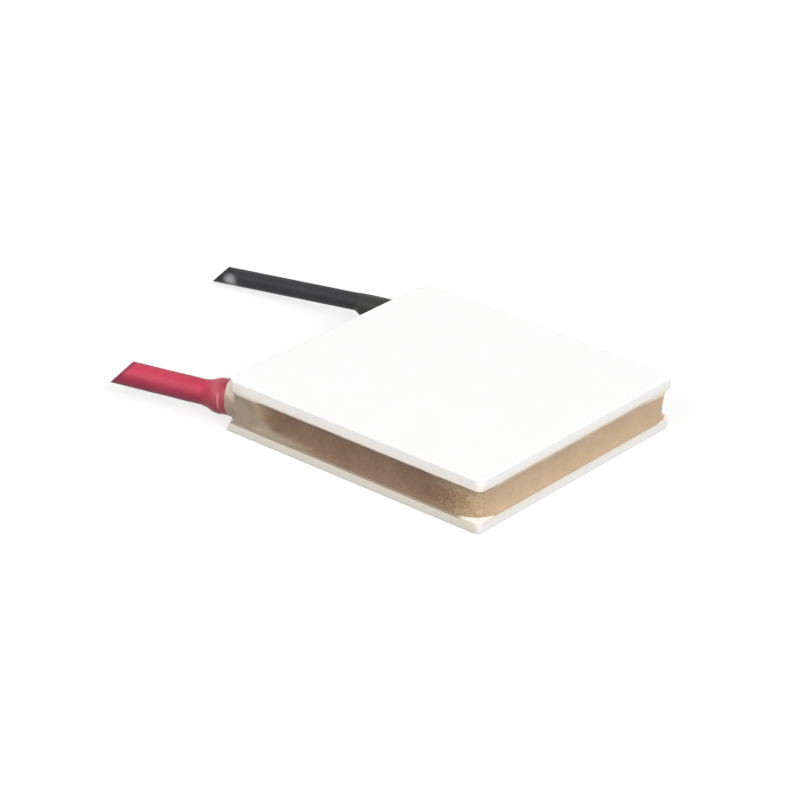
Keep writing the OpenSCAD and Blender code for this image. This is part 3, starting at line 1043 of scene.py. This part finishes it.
def add_lead_path(name, lead):
    """A curve along the lead's middle, from the conductor's inner end to past the snip."""
    curve = bpy.data.curves.new(name, "CURVE")
    curve.dimensions = "3D"
    curve.twist_mode = "Z_UP"
    spline = curve.splines.new("POLY")
    length = CONDUCTOR_IN + lead["length"] + PATH_SPARE
    count = int(length / PATH_STEP) + 1
    spline.points.add(count - 1)
    for i, point in enumerate(spline.points):
        place = lead_point(lead, -CONDUCTOR_IN + length * i / (count - 1)) * MM
        point.co = (*place, 1.0)
    path = bpy.data.objects.new(name, curve)
    bpy.context.scene.collection.objects.link(path)
    return path


def remove_path(path):
    deselect_all()
    curve = path.data
    bpy.data.objects.remove(path)
    bpy.data.curves.remove(curve)


def draw_out(name, sides, stations):
    """A ring drawn out along X through stations (along, radius, offset in Y, offset in Z)."""
    deselect_all()
    along, radius, y, z = stations[0]
    bpy.ops.mesh.primitive_circle_add(vertices=sides, radius=radius * MM, fill_type="NOTHING",
                                      location=(along * MM, y * MM, z * MM),
                                      rotation=(0, math.pi / 2, 0))
    tube = name_active(name)
    select_in_edit(tube, "EDGE", lambda edge: True)
    for next_along, next_radius, next_y, next_z in stations[1:]:
        step = Vector((next_along - along, next_y - y, next_z - z)) * MM
        bpy.ops.mesh.extrude_edges_move(TRANSFORM_OT_translate={"value": step})
        grow = next_radius / radius
        if abs(grow - 1) > 0.0001:
            middle = Vector((next_along, next_y, next_z)) * MM
            bpy.ops.transform.resize(value=(1, grow, grow), center_override=middle)
        along, radius, y, z = next_along, next_radius, next_y, next_z
    leave_edit()
    return tube


def smooth_rings(piece):
    round_off = piece.modifiers.new("round_off", "SUBSURF")
    round_off.levels = round_off.render_levels = 1
    apply_modifier(piece, "round_off")


def follow_lead(piece, path):
    """Keeps each point's place on the straight lead, then bends the piece along its path."""
    way = piece.data.attributes.new("lead_way", "FLOAT_VECTOR", "POINT")
    for vertex, kept in zip(piece.data.vertices, way.data):
        kept.vector = vertex.co / MM
    for vertex in piece.data.vertices:
        vertex.co.x += CONDUCTOR_IN * MM
    bend = piece.modifiers.new("bend", "CURVE")
    bend.object = path
    bend.deform_axis = "POS_X"
    apply_modifier(piece, "bend")


def snip_plane(lead, proud=0.0):
    """Point and outward direction of the slanting cut at the lead's end, in metres."""
    out = Vector(lead["snip"]).normalized()
    return (lead_point(lead, lead["length"]) + out * proud) * MM, out


def snip(piece, lead, proud=0.0, fill=False):
    cut_off(piece, *snip_plane(lead, proud), fill=fill)
    leave_edit()


def note_cut_distance(piece, lead):
    point, out = snip_plane(lead)
    kept = piece.data.attributes.new("from_cut", "FLOAT", "POINT")
    for vertex, value in zip(piece.data.vertices, kept.data):
        value.value = (point - vertex.co).dot(out) / MM


def add_jacket(colour, lead, path):
    """Insulation with its bore, a little uneven along its length and snipped at a slant."""
    end = lead["length"] + CUT_SPARE
    radius = lead["radius"] * ROUNDING_GAIN
    outer = []
    for i in range(JACKET_STEPS + 1):
        along = -INSULATION_IN + (end + INSULATION_IN) * i / JACKET_STEPS
        wave = 0.008 * math.sin(2.1 * along) + 0.005 * math.sin(5.3 * along + 1.0)
        outer.append((along, radius + wave, 0.0, 0.004 * math.sin(3.1 * along)))
    inner = [(along, BORE_R * ROUNDING_GAIN, 0.0, 0.0) for along, *_ in reversed(outer)]
    jacket = draw_out(f"{colour}_jacket", RING_SIDES, outer + inner + outer[:1])
    tidy_surface(jacket)
    smooth_rings(jacket)
    follow_lead(jacket, path)
    snip(jacket, lead)
    select_in_edit(jacket, "EDGE", lambda edge: False)
    bpy.ops.mesh.select_non_manifold(extend=False, use_wire=False, use_boundary=True,
                                     use_multi_face=False, use_non_contiguous=False,
                                     use_verts=False)
    bpy.ops.mesh.bridge_edge_loops()
    leave_edit()
    note_cut_distance(jacket, lead)
    tidy_surface(jacket, 40)
    finish_piece(jacket, FINISHES[f"{colour}_pvc"], f"{colour}_pvc", f"{colour}_insulation")


# Each sleeve from its inner end outwards: (along, radius, drop of its middle)
SLEEVE_FORMS = {
    "red": [(-0.3, 1.05, 0.0), (0.0, 1.12, 0.0), (0.5, 1.16, 0.0), (0.85, 1.17, 0.0),
            (1.05, 1.13, 0.0), (1.2, 1.16, 0.01), (1.4, 1.15, 0.01), (1.6, 1.11, 0.01),
            (1.78, 1.04, 0.01), (1.98, 0.95, 0.0), (2.2, 0.885, 0.0), (2.45, 0.85, 0.0)],
    "black": [(-0.3, 0.69, 0.0), (0.3, 0.7, 0.01), (0.8, 0.71, 0.03), (1.3, 0.74, 0.09),
              (1.9, 0.78, 0.15), (2.6, 0.79, 0.17), (3.3, 0.79, 0.17), (3.6, 0.78, 0.16),
              (3.8, 0.71, 0.09), (4.05, 0.63, 0.01)],
}


def add_sleeve(colour, lead, path):
    """Shrunk film: wide over the joint, necked down onto the insulation."""
    outer = [(along, radius * ROUNDING_GAIN, 0.0, -drop)
             for along, radius, drop in SLEEVE_FORMS[colour]]
    inner_r = lead["radius"] + 0.012
    inner = [(outer[-1][0], inner_r, 0.0, 0.0), (outer[0][0], inner_r, 0.0, 0.0)]
    sleeve = draw_out(f"{colour}_film_sleeve", RING_SIDES, outer + inner + outer[:1])
    tidy_surface(sleeve)
    smooth_rings(sleeve)
    follow_lead(sleeve, path)
    tidy_surface(sleeve, 50)
    finish_piece(sleeve, FINISHES[f"{colour}_film"], f"{colour}_film", f"{colour}_sleeve")


# How far each strand stands out of the cut or, below zero, in it, the middle one first
STRAND_ENDS = (-0.03, -0.06, 0.0, -0.08, -0.01, -0.05, -0.02)
STRAND_LAY = 14.0
STRAND_STEP = 0.5
STRAND_SIDES = 12


def add_strands(colour, lead, path):
    """Seven strands in a gentle lay, each snipped a little differently."""
    strands = []
    end = lead["length"] + CUT_SPARE
    count = int((end + CONDUCTOR_IN) / STRAND_STEP)
    for number, proud in enumerate(STRAND_ENDS):
        out = STRAND_D + STRAND_GAP if number else 0.0
        stations = []
        for i in range(count + 1):
            along = -CONDUCTOR_IN + (end + CONDUCTOR_IN) * i / count
            turn = math.radians(60 * number) + 2 * math.pi * along / STRAND_LAY
            stations.append((along, STRAND_D / 2, out * math.cos(turn), out * math.sin(turn)))
        strand = draw_out(f"{colour}_strand_{number}", STRAND_SIDES, stations)
        select_in_edit(strand, "EDGE", lambda edge: all(
            co.x < 0.01 - CONDUCTOR_IN for co in edge_ends(strand, edge)))
        bpy.ops.mesh.edge_face_add()
        leave_edit()
        tidy_surface(strand)
        follow_lead(strand, path)
        snip(strand, lead, proud, fill=True)
        strands.append(strand)
    bundle = join_pieces(strands, f"{colour}_strands")
    tidy_surface(bundle, 40)
    finish_piece(bundle, FINISHES["copper_strand"], "copper_strand", f"{colour}_conductor")


def add_lead(colour):
    lead = LEADS[colour]
    path = add_lead_path(f"{colour}_path", lead)
    add_strands(colour, lead, path)
    add_jacket(colour, lead, path)
    add_sleeve(colour, lead, path)
    remove_path(path)


def finish_couples():
    """The CAD solids inside the seal get their finishes."""
    slots = {part["node"]: part["material_slot"] for part in frame["record"]["subparts"]}
    for name, piece in frame["nodes"].items():
        for place in piece.material_slots:
            place.material = FINISHES[slots[name]]


# ---- making, the camera first ----

add_camera()
add_floor()
add_world()
for softbox, (azimuth, power) in SOFTBOXES.items():
    add_softbox(softbox, azimuth, power)
bpy.context.scene.view_settings.view_transform = "Standard"

add_ceramic("hot_ceramic", 0.0, "hot_plate", HOT_CORNERS, HOT_LOW_BREAK, HOT_CHIP)
add_ceramic("cold_ceramic", COLD_PLATE_Z, "cold_plate", COLD_CORNERS)
add_edge_seal()
add_lead("red")
add_lead("black")
finish_couples()
